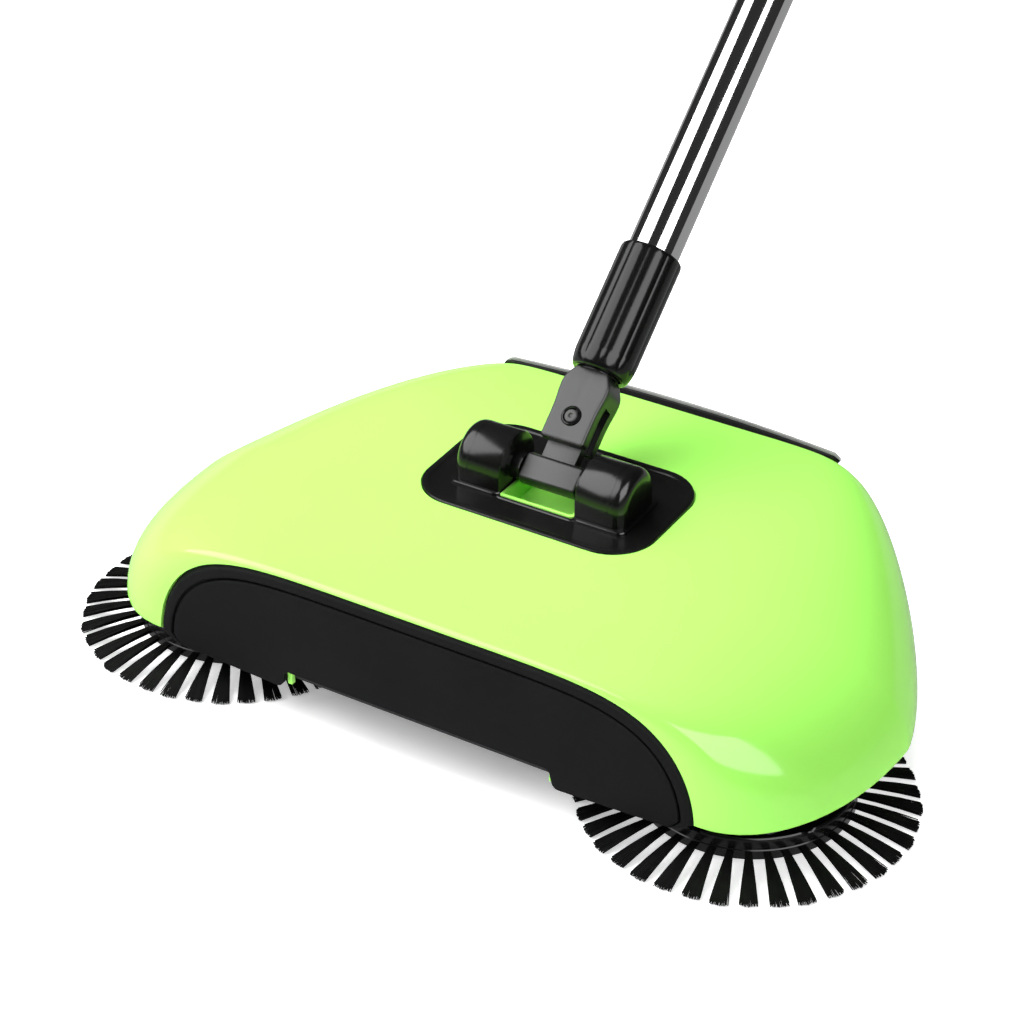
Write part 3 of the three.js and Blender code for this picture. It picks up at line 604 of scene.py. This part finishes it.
# ---- sleeve, tubes, collar and grip ------------------------------------------------------
def build_sleeve():
    """Rounded socket with ten shallow lobes along its grip."""
    outside = [(11.0, 47.0), (11.5, 47.15), (12.0, 47.6), (12.5, 48.4), (12.9, 49.5), (13.25, 51),
               (13.5, 52.6), (13.65, 54)]
    outside += [(SLEEVE_R, 55 + 0.8 * k) for k in range(58)]
    outside += [(SLEEVE_R, 101.4), (SLEEVE_R, 102.6), (13.65, 103.3), (13.4, 103.9), (13.0, 104.3),
                (12.5, 104.5)]
    inside = [(11.7, 104.4), (11.55, 104.0), (11.55, 66), (9.6, 65.5), (9.6, 47.6), (10.2, 47.1)]
    segments = 240
    pitch = TAU / SLEEVE_LOBES
    loops = []
    for r, s in outside + inside:
        loop = []
        end = min(1, max(0, (s - 49) / 4), max(0, (104 - s) / 1.5)) if r > 12.4 else 0
        for i in range(segments):
            a = TAU * i / segments
            nearest = (round(a / pitch - 0.5) + 0.5) * pitch
            across = abs(a - nearest) / (pitch / 2)
            depth = LOBE_DEPTH * across ** 2 * math.sin(end * math.pi / 2)
            loop.append(((r - depth) * math.cos(a), (r - depth) * math.sin(a), s))
        loops.append(loop)
    piece("grip_sleeve", on_pole(ring(loops, closed=True)), GLOSS_BLACK, "neck", ["handle_sleeve"],
          crease=14)


build_sleeve()


def tube(name, radius, start, end, body, node):
    inner = radius - TUBE_WALL
    profile = [(inner, start), (radius - 0.12, start), (radius, start + 0.12)]
    profile += [(radius, start + (end - start) * k / 8) for k in range(1, 8)]
    profile += [(radius, end - 0.12), (radius - 0.12, end), (inner, end)]
    piece(name, on_pole(lathe(profile, "z", 128, closed=True)), CHROME, body, [node])


tube("pole_tube_lower", OUTER_TUBE_R, 66, 430, "neck", "outer_tube")
tube("pole_tube_upper", INNER_TUBE_R, 84, 560, "inner_pole", "inner_tube")


def build_collar():
    """Twist lock with a ribbed waist between two plain lips."""
    profile = [(11.55, 414.0), (12.4, 414.0), (13.0, 414.4), (13.9, 416.2), (COLLAR_R, 417.4),
               (COLLAR_R, 421.0)]
    profile += [(COLLAR_R, 421.5 + k) for k in range(20)]
    profile += [(COLLAR_R, 441.5), (COLLAR_R, 445.6), (13.9, 447.0), (13.2, 449.2), (12.6, 449.9),
                (12.0, 450)]
    profile += [(10.6, 450), (10.6, 430.3), (11.55, 430.3)]
    loops = []
    for r, s in profile:
        loop = []
        ribbed = r == COLLAR_R and 421.2 < s < 441.4
        for i in range(288):
            a = TAU * i / 288
            depth = 0.32 * (1 + math.cos(a * COLLAR_RIBS)) if ribbed else 0
            loop.append(((r - depth) * math.cos(a), (r - depth) * math.sin(a), s))
        loops.append(loop)
    piece("twist_collar", on_pole(ring(loops, closed=True)), GLOSS_BLACK, "collar", ["lock_collar"],
          crease=40)


build_collar()


def build_grip():
    """Soft grip: a flared foot, finger swells and fine rings along them."""
    profile = [(10.6, 470.0), (12.3, 470.0), (12.7, 470.3), (13.8, 473.2), (14.0, 474.4), (13.8, 476.5),
               (13.3, 480), (13.1, 484)]
    for k in range(201):
        s = 484.4 + 98 * k / 200
        swell = 0.75 * math.sin(math.pi * (s - 484) / 20) ** 2
        groove = 0.18 * (0.5 + 0.5 * math.cos(TAU * (s - 484) / 2.0)) ** 3
        profile.append((13.2 + swell - groove, s))
    profile += [(13.3, 583.4), (13.8, 585), (14.3, 586.2), (14.4, 587.4), (14.1, 588.0), (10.6, 588.0)]
    piece("soft_grip", on_pole(lathe(profile, "z", 96, closed=True)), RUBBER, "inner_pole", ["pole_grip"])
    cap = [(10.2, 588.3), (14.1, 588.3), (14.4, 588.7), (14.35, 589.8)]
    for k in range(1, 16):
        a = math.radians(90 * k / 16)
        cap.append((14.35 * math.cos(a) ** 0.8, 589.8 + 8.4 * math.sin(a)))
    cap.append((0.4, 598.2))
    piece("grip_end_cap", on_pole(lathe(cap, "z", 96)), GLOSS_BLACK, "inner_pole", ["grip_cap"])


build_grip()


# ---- disc brushes ------------------------------------------------------------------------
def disc_hub():
    """Rotor with a flat top ring, a stepped rim and six cut-outs in the ring."""
    profile = [(5.4, 3.6), (8.6, 3.6), (9.0, 4.0), (9.0, 10.8), (41.2, 10.8), (41.5, 10.5), (41.5, 3.0),
               (43.2, 3.0), (43.5, 3.3), (43.5, 7.2), (43.2, 7.6), (43.2, 8.4), (43.5, 8.8), (43.5, 11.9),
               (43.3, 12.5), (42.8, 12.95), (42.2, 13.0), (37.0, 13.0), (36.6, 12.9), (36.2, 12.4),
               (5.6, 12.4), (5.4, 12.2)]
    segments = 240
    loops = []
    for r, z in profile:
        loop = []
        for i in range(segments):
            a = TAU * i / segments
            near = abs((a / (TAU / 6)) % 1 - 0.5) * TAU / 6 * 40
            sunk = 0.9 if z > 12.45 and r > 36.3 and near < 1.3 else 0
            loop.append((r * math.cos(a), r * math.sin(a), z - sunk))
        loops.append(loop)
    return ring(loops, closed=True)


def strand(base, tip, bow, width, sides=3, steps=3):
    """One bristle: a thin bowed rod from base to tip."""
    base, tip, bow = Vector(base), Vector(tip), Vector(bow)
    loops = []
    along = (tip - base).normalized()
    across = along.cross(Vector((0, 0, 1)))
    if across.length < 0.1:
        across = along.cross(Vector((1, 0, 0)))
    across.normalize()
    up = across.cross(along)
    for k in range(steps + 1):
        t = k / steps
        centre = base.lerp(tip, t) + bow * (4 * t * (1 - t))
        r = width * (0.5 if k < steps else 0.42)
        loop = []
        for j in range(sides):
            a = TAU * j / sides + 0.5
            p = centre + across * (r * math.cos(a)) + up * (r * math.sin(a))
            loop.append(tuple(p))
        loops.append(loop)
    return ring(loops)


TUFTS = 38


def disc_tufts():
    """Tufts leave the hub as narrow bundles and fan out to wide flat ends at the floor."""
    strands = []
    for i in range(TUFTS):
        middle = TAU * (i + 0.5) / TUFTS
        lean = random.uniform(-0.006, 0.006)
        reach = DISC_R - random.uniform(0.2, 1.3)
        for row in range(2):
            count = 15 - row
            for k in range(count):
                t = (k + 0.5) / count * 2 - 1
                root_angle = middle + t * 1.0 / HUB_R
                tip_angle = middle + lean + t * 3.9 / DISC_R + random.uniform(-0.002, 0.002)
                end = reach - 0.5 * abs(t) - 0.6 * random.random() - 0.45 * row
                z0 = 5.0 + 1.5 * row + random.uniform(-0.2, 0.2)
                z1 = 0.75 + 0.8 * row + random.uniform(-0.12, 0.2)
                base = (42.6 * math.cos(root_angle), 42.6 * math.sin(root_angle), z0)
                tip = (end * math.cos(tip_angle), end * math.sin(tip_angle), z1)
                strands.append(strand(base, tip, (0, 0, 0.5), 0.62))
    return merged(*strands)


hub_mesh = disc_hub()
tuft_mesh = disc_tufts()
for sign, side in SIDES:
    hub = mapped(hub_mesh, lambda x, y, z: (sign * (x + DISC_X), y, z))
    tufts = mapped(tuft_mesh, lambda x, y, z: (sign * (x + DISC_X), y, z))
    piece("rotor_" + side, hub, GLOSS_BLACK, "disc_" + side, ["disc_hub_" + side], crease=35)
    piece("disc_tufts_" + side, tufts, NYLON, "disc_" + side, ["disc_bristles_" + side], crease=80)


# ---- roller ------------------------------------------------------------------------------
def roller_rows():
    rows = []
    for row in range(4):
        strands = []
        for i in range(38):
            x = -73.5 + 147 * i / 37
            twist = row * math.pi / 2 + x / 77 * math.pi / 3
            for k in range(9):
                side = random.uniform(-0.9, 0.9)
                dx = random.uniform(-1.1, 1.1)
                tip_side = side * 1.5 + random.uniform(-0.3, 0.3)
                reach = ROLLER_R - random.uniform(0.05, 0.8)

                def around(r, s, xx):
                    y = r * math.cos(twist) - s * math.sin(twist)
                    z = r * math.sin(twist) + s * math.cos(twist)
                    return xx, ROLLER_Y + y, ROLLER_Z + z

                strands.append(strand(around(8.9, side, x + dx * 0.6), around(reach, tip_side, x + dx * 1.4),
                                      (0, 0, 0), 0.5, steps=1))
        rows.append(merged(*strands))
    return rows


for index, mesh in enumerate(roller_rows()):
    piece(f"roller_tufts_{index + 1}", mesh, NYLON, "roller", [f"roller_bristles_{index + 1}"], crease=80)
core = [(3.3, -77), (8.4, -77), (9.0, -76.4), (9.0, -74), (8.7, -73.8), (8.7, 73.8), (9.0, 74), (9.0, 76.4),
        (8.4, 77), (3.3, 77)]
piece("roller_barrel", lathe(core, "x", 64, closed=True, origin=(0, ROLLER_Y, ROLLER_Z)), SATIN_BLACK,
      "roller", ["roller_core"])


# ---- wheels and casters ------------------------------------------------------------------
def tread():
    """Tyre with a grooved tread: slanted cuts across its rounded face."""
    section = [(21.2, 84.3), (22.6, 84.3), (23.2, 84.6), (23.7, 85.2), (24.0, 86.2)]
    section += [(24.0, 86.2 + 7.6 * k / 10) for k in range(1, 11)]
    section += [(23.7, 94.8), (23.2, 95.4), (22.6, 95.7), (21.2, 95.7)]
    loops = []
    for r, x in section:
        loop = []
        for i in range(256):
            a = TAU * i / 256
            phase = (a * 32 / TAU + abs(x - 90) * 0.12) % 1
            depth = 0.7 if r > 23.6 and phase < 0.3 else 0
            loop.append((x, (r - depth) * math.cos(a), (r - depth) * math.sin(a)))
        loops.append(loop)
    return ring(loops, closed=True)


tread_mesh = tread()
caster_profile = [(1.8, -4), (7.2, -4), (7.7, -3.7), (8.0, -3.0), (8.0, -0.5), (7.8, -0.3), (7.8, 0.3),
                  (8.0, 0.5), (8.0, 3.0), (7.7, 3.7), (7.2, 4), (1.8, 4)]
caster_mesh = lathe(caster_profile, "x", 64, closed=True)
for sign, side in SIDES:
    tyre = mapped(tread_mesh, lambda x, y, z: (sign * x, y + WHEEL_Y, z + WHEEL_R))
    caster = mapped(caster_mesh, lambda x, y, z: (sign * CASTER_X + x, y + CASTER_Y, z + CASTER_R))
    piece("tyre_" + side, tyre, RUBBER, "wheel_" + side, ["wheel_tyre_" + side], crease=35)
    piece("caster_" + side, caster, SATIN_BLACK, "caster_" + side, ["caster_roller_" + side])


# ---- dust bin ----------------------------------------------------------------------------
def bow(x):
    """How far the rear panel swells backwards at x."""
    return 6 * max(0, 1 - (x / 88) ** 2)


def build_bin():
    outline = [arch_point(math.pi * i / 160, PANEL_HALF, 62.6, 9.6) for i in range(161)]
    outline += [(PANEL_HALF * (i / 30 - 1), TRAY_FLOOR) for i in range(61)]
    centre = (0, 38)

    def loop(shrink, depth):
        points = []
        for x, z in outline:
            d = math.hypot(x - centre[0], z - centre[1])
            k = max(0, 1 - shrink / d)
            px, pz = centre[0] + (x - centre[0]) * k, centre[1] + (z - centre[1]) * k
            points.append((px, depth(px), pz))
        return points

    def scaled(factor, depth):
        points = []
        for x, z in outline:
            px, pz = x * factor, centre[1] + (z - centre[1]) * factor
            points.append((px, depth(px), pz))
        return points

    def inner(x):
        return REAR_Y + 0.4 + bow(x)

    def outer(x):
        return REAR_Y + 2.8 + bow(x)

    loops = [scaled(f, inner) for f in (0.02, 0.3, 0.6, 0.9)]
    loops += [loop(0.3, inner), loop(0.0, lambda x: inner(x) + 0.3), loop(0.0, lambda x: outer(x) - 0.7),
              loop(0.2, lambda x: outer(x) - 0.2), loop(0.7, outer)]
    loops += [scaled(f, outer) for f in (0.96, 0.9, 0.75, 0.6, 0.45, 0.3, 0.15, 0.02)]
    panel = ring(loops)
    back = REAR_Y + 1.5
    deck, inside = TRAY_FLOOR + TRAY_WALL, TRAY_HALF - TRAY_WALL
    walls = [box_mesh(-TRAY_HALF, TRAY_HALF, TRAY_FRONT, back, TRAY_FLOOR, deck),
             box_mesh(inside, TRAY_HALF, TRAY_FRONT, back, TRAY_FLOOR, TRAY_TOP),
             box_mesh(-TRAY_HALF, -inside, TRAY_FRONT, back, TRAY_FLOOR, TRAY_TOP),
             box_mesh(-TRAY_HALF, TRAY_HALF, REAR_Y - TRAY_WALL, back, TRAY_FLOOR, TRAY_TOP),
             box_mesh(-TRAY_HALF, TRAY_HALF, TRAY_FRONT, TRAY_FRONT + TRAY_WALL, TRAY_FLOOR, 20)]
    piece("bin_tray", merged(*walls), SATIN_BLACK, "bin", bevel=0.4)
    ribs = []
    for z, half in ((34, 30), (39, 34), (44, 36), (49, 34)):
        loops = []
        for x, size in [(-half, 0.15), (-half + 0.6, 0.7), (-half + 2, 1)] + [
                (-half + 2 + (2 * half - 4) * k / 24, 1) for k in range(1, 24)] + [
                (half - 2, 1), (half - 0.6, 0.7), (half, 0.15)]:
            points = arc(0, 0, 1, -90, 90, 8)
            loops.append([(x, outer(x) - 0.4 + 1.5 * size * py, z + 1.1 * size * pz) for py, pz in points])
        ribs.append(ring(loops))
    piece("bin_panel", merged(panel, *ribs), SATIN_BLACK, "bin", ["dust_bin"], crease=30)


build_bin()


def build_trim():
    """Lip along the housing's rear edge: a dark channel in front, a rounded rail behind, its grey a painted
    reflection of the light on the black trim's top.
    """
    channel, rail = [], []
    for i in range(61):
        x = LIP_HALF * (i / 30 - 1)
        end = min(1, (LIP_HALF - abs(x)) / 1.2 + 0.35)
        back = REAR_Y + 2.8 + bow(x)
        front = REAR_Y + 0.45
        low = [(front, LIP_Z), (front, 64.8), (back - 0.3, 64.8), (back - 0.3, LIP_Z)]
        high = [(back - 1.4, 64.2), (back - 1.4, 65.5), (back - 1.2, 65.85), (back - 0.6, 66.0),
                (back - 0.35, 66.0), (back - 0.1, 65.85), (back, 65.5), (back, 64.2)]
        channel.append([(x, y, LIP_Z + (z - LIP_Z) * end) for y, z in low])
        rail.append([(x, y, LIP_Z + (z - LIP_Z) * end) for y, z in high])
    piece("bin_lip", ring(channel), GLOSS_BLACK, "bin", ["bin_trim"], crease=32)
    # The rail's grey is a painted reflection.
    piece("bin_rail", ring(rail), RAIL_PAINTED_REFLECTION, "bin", crease=40)


build_trim()


# ---- small gear on the carried-over CAD nodes --------------------------------------------
def finish_node(name, finish):
    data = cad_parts[name].data
    data.materials.clear()
    data.materials.append(finish)


NODE_FINISH = {
    "chassis": CHASSIS_BLACK, "front_glide": RUBBER, "dust_lip": RUBBER, "roller_shaft": STEEL,
    "hinge_axle": SATIN_BLACK, "guide_plug": SATIN_BLACK,
}
for number in range(1, 5):
    NODE_FINISH[f"housing_screw_{number}"] = STEEL
for _, side in SIDES:
    NODE_FINISH.update({
        "wheel_axle_" + side: STEEL, "caster_axle_" + side: STEEL, "wheel_hub_" + side: ACETAL,
        "roller_pinion_" + side: ACETAL, "upright_pinion_" + side: ACETAL,
        "idler_gear_rear_" + side: ACETAL, "idler_gear_front_" + side: ACETAL,
        "disc_spindle_" + side: ACETAL, "hinge_washer_" + side: GLOSS_BLACK,
    })
for node_name, node_finish in NODE_FINISH.items():
    finish_node(node_name, node_finish)


# ---- floor and lights --------------------------------------------------------------------
STAGE_HALF = 6                        # metres, as everything in this section
LIGHT_TARGET = (0, 0.05, 0.05)


def staged(name, verts, faces, finish):
    """A surface of the studio that is not part of the sweeper; corners in metres."""
    data = bpy.data.meshes.new(name)
    data.from_pydata(verts, [], faces)
    data.materials.append(finish)
    obj = bpy.data.objects.new(name, data)
    bpy.context.scene.collection.objects.link(obj)
    return obj


def square(half, z):
    return [(-half, -half, z), (half, -half, z), (half, half, z), (-half, half, z)]


def glowing(name, albedo, strength):
    m = bpy.data.materials.new(name)
    m.use_nodes = True
    shader = m.node_tree.nodes["Principled BSDF"]
    shader.inputs["Base Color"].default_value = (albedo, albedo, albedo, 1)
    shader.inputs["Emission Color"].default_value = (1, 1, 1, 1)
    shader.inputs["Emission Strength"].default_value = strength
    return m


def build_floor():
    """White floor that glows a little, weakest under and round the sweeper: a painted shade where its shade
    falls.
    """
    m = glowing("pale_floor", 0.9, 0)
    nodes, links = m.node_tree.nodes, m.node_tree.links
    shader = nodes["Principled BSDF"]
    shader.inputs["Roughness"].default_value = 0.9
    shader.inputs["Specular IOR Level"].default_value = 0.1
    where = nodes.new("ShaderNodeTexCoord")
    length = nodes.new("ShaderNodeVectorMath")
    length.operation = "LENGTH"
    links.new(where.outputs["Object"], length.inputs[0])
    # Painted shade: the glow grows with distance from the middle, so the floor is darker round and under the
    # sweeper.
    floor_glow_painted_shade = nodes.new("ShaderNodeMapRange")
    floor_glow_painted_shade.inputs["From Min"].default_value = 0.05
    floor_glow_painted_shade.inputs["From Max"].default_value = 0.14
    floor_glow_painted_shade.inputs["To Min"].default_value = 0.25
    floor_glow_painted_shade.inputs["To Max"].default_value = 0.7
    links.new(length.outputs["Value"], floor_glow_painted_shade.inputs["Value"])
    links.new(floor_glow_painted_shade.outputs["Result"], shader.inputs["Emission Strength"])
    floor = staged("floor", square(STAGE_HALF, 0), [(0, 1, 2, 3)], m)
    floor.visible_glossy = False


def build_floor_sheen():
    """The dimmer floor that glossy faces mirror; the camera never sees it."""
    m = glowing("floor_sheen", 0, 0.42)
    sheen = staged("floor_sheen", square(STAGE_HALF, -0.004), [(0, 1, 2, 3)], m)
    sheen.visible_camera = False
    sheen.visible_diffuse = False
    sheen.visible_shadow = False


def build_backdrop():
    """White walls behind low views; only the camera sees them."""
    verts, faces = ring([square(STAGE_HALF - 0.1, z) for z in (-0.1, 9)])
    walls = staged("backdrop", verts, faces, glowing("white_backdrop", 0, 1.0))
    walls.visible_diffuse = False
    walls.visible_glossy = False
    walls.visible_transmission = False
    walls.visible_shadow = False


build_floor()
build_floor_sheen()
build_backdrop()


def softbox(name, direction, distance, width, height, radiance):
    """Rectangular light that faces the sweeper; radiance is what a mirror would show."""
    data = bpy.data.lights.new(name, "AREA")
    data.shape = "RECTANGLE"
    data.size = width
    data.size_y = height
    data.energy = radiance * math.pi * width * height
    obj = bpy.data.objects.new(name, data)
    away = Vector(direction).normalized()
    obj.location = Vector(LIGHT_TARGET) + away * distance
    obj.rotation_euler = away.to_track_quat("Z", "Y").to_euler()
    bpy.context.scene.collection.objects.link(obj)
    return obj


softbox("key_left", (-0.60, -0.40, 0.72), distance=1.9, width=2.0, height=1.8, radiance=4.6)
card_right = softbox("card_right", (0.70, -0.34, 0.60), distance=1.9, width=1.7, height=1.4, radiance=5.6)
card_right.visible_diffuse = False
sky_left = softbox("sky_left", (-0.42, 0.25, 0.87), distance=2.0, width=2.0, height=2.0, radiance=5.0)
sky_left.visible_glossy = False
fill_right = softbox("fill_right", (0.66, -0.32, 0.68), distance=1.9, width=1.2, height=1.3, radiance=1.2)
fill_right.visible_glossy = False

world = bpy.data.worlds.new("studio")
world.use_nodes = True
world.node_tree.nodes["Background"].inputs["Color"].default_value = (1, 1, 1, 1)
world.node_tree.nodes["Background"].inputs["Strength"].default_value = 0.04
bpy.context.scene.world = world
